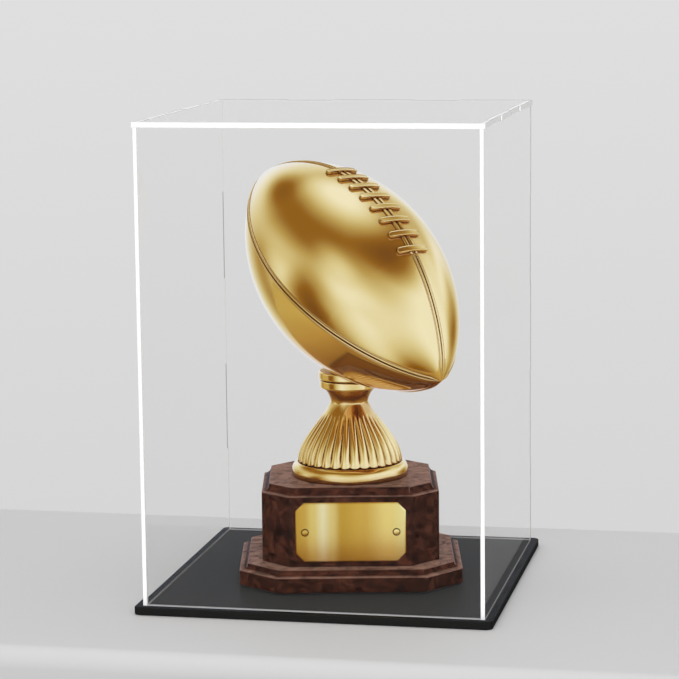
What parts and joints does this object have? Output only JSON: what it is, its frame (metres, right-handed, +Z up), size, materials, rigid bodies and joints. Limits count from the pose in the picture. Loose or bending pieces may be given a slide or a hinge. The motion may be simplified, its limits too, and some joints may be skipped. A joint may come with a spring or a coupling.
{
  "type": "football display case",
  "caption": "Clear acrylic display case: a finger-jointed cover lifts off a black base plate, over a gold football trophy on a fluted riser and stepped wooden base.",
  "frame": {"origin": "middle of the base plate's underside", "axes": "+Z up, -Y out of the front, +X to the right seen from the front"},
  "size_m": [0.262, 0.262, 0.356],
  "materials": {
    "clear_acrylic": "clear, polished",
    "black_acrylic": "gloss black",
    "felt": "black felt",
    "dark_wood": "dark burl under gloss lacquer",
    "gold_plate": "polished gold plate",
    "satin_brass": "brushed satin gold",
    "zinc_steel": "zinc plated"
  },
  "bodies": {
    "base": {"base_plate": "black_acrylic"},
    "cover": {"front_panel": "clear_acrylic", "back_panel": "clear_acrylic", "left_panel": "clear_acrylic", "right_panel": "clear_acrylic", "top_panel": "clear_acrylic"},
    "trophy": {"felt_pad": "felt", "plinth": "dark_wood", "block": "dark_wood", "wood_screws": "zinc_steel", "name_plate": "satin_brass", "plate_pins": "satin_brass", "riser_foot": "gold_plate", "riser": "gold_plate", "lower_collar": "gold_plate", "upper_collar": "gold_plate", "ball_lower_shell": "gold_plate", "ball_upper_shell": "gold_plate", "lace_strips": "gold_plate", "cross_laces": "gold_plate", "tie_rod": "zinc_steel", "rod_nuts": "zinc_steel", "rod_washers": "zinc_steel"}
  },
  "joints": [
    {"name": "cover_lift", "type": "slide", "parent": "base", "child": "cover", "axis": [0, 0, 1], "range_m": [0, 0.36]},
    {"name": "trophy_lift", "type": "slide", "parent": "base", "child": "trophy", "axis": [0, 0, 1], "range_m": [0, 0.03]}
  ]
}
